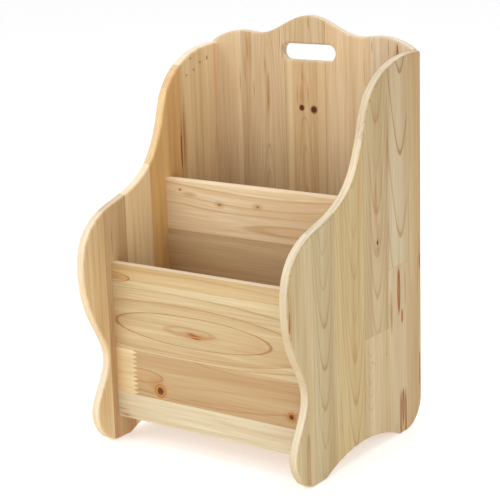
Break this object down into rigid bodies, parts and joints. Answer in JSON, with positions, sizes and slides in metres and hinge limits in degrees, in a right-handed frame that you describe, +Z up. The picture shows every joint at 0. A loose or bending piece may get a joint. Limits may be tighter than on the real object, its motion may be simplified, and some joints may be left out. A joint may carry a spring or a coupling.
{
  "type": "magazine rack",
  "caption": "Free-standing wooden magazine rack with two pockets, curved sides on shaped feet, and a tall back with a wavy top and a hand hole.",
  "frame": {"origin": "on the floor, under the middle of the rack's outer box", "axes": "+X to the rack's right side, +Y to its back, +Z up"},
  "size_m": [0.3, 0.29, 0.5],
  "materials": {
    "side_wood": "satin clear lacquer over planed softwood",
    "back_wood": "satin clear lacquer over planed softwood",
    "front_wood": "satin clear lacquer over planed softwood",
    "divider_wood": "satin clear lacquer over planed softwood",
    "floor_wood": "satin clear lacquer over planed softwood",
    "dowel": "raw turned beech"
  },
  "bodies": {
    "root": {"back_stave_1": "back_wood", "back_stave_2": "back_wood", "back_stave_3_above_grip": "back_wood", "back_stave_3_below_grip": "back_wood", "back_stave_4": "back_wood", "back_stave_5": "back_wood", "divider_dowels": "dowel", "divider_stave_1": "divider_wood", "divider_stave_2": "divider_wood", "divider_stave_3": "divider_wood", "divider_stave_4": "divider_wood", "floor_back_dowels": "dowel", "floor_end_dowels": "dowel", "floor_front_dowels": "dowel", "floor_stave_1": "floor_wood", "floor_stave_2": "floor_wood", "floor_stave_3": "floor_wood", "floor_stave_4": "floor_wood", "front_panel_dowels": "dowel", "front_stave_1": "front_wood", "front_stave_2_left": "front_wood", "front_stave_2_right": "front_wood", "front_stave_3": "front_wood", "left_side_stave_1": "side_wood", "left_side_stave_2": "side_wood", "left_side_stave_3": "side_wood", "left_side_stave_4": "side_wood", "left_side_stave_5": "side_wood", "left_side_stave_6": "side_wood", "left_side_stave_7": "side_wood", "right_side_stave_1": "side_wood", "right_side_stave_2": "side_wood", "right_side_stave_3": "side_wood", "right_side_stave_4_lower": "side_wood", "right_side_stave_4_upper": "side_wood", "right_side_stave_5_lower": "side_wood", "right_side_stave_5_upper": "side_wood", "right_side_stave_6": "side_wood"}
  },
  "joints": []
}
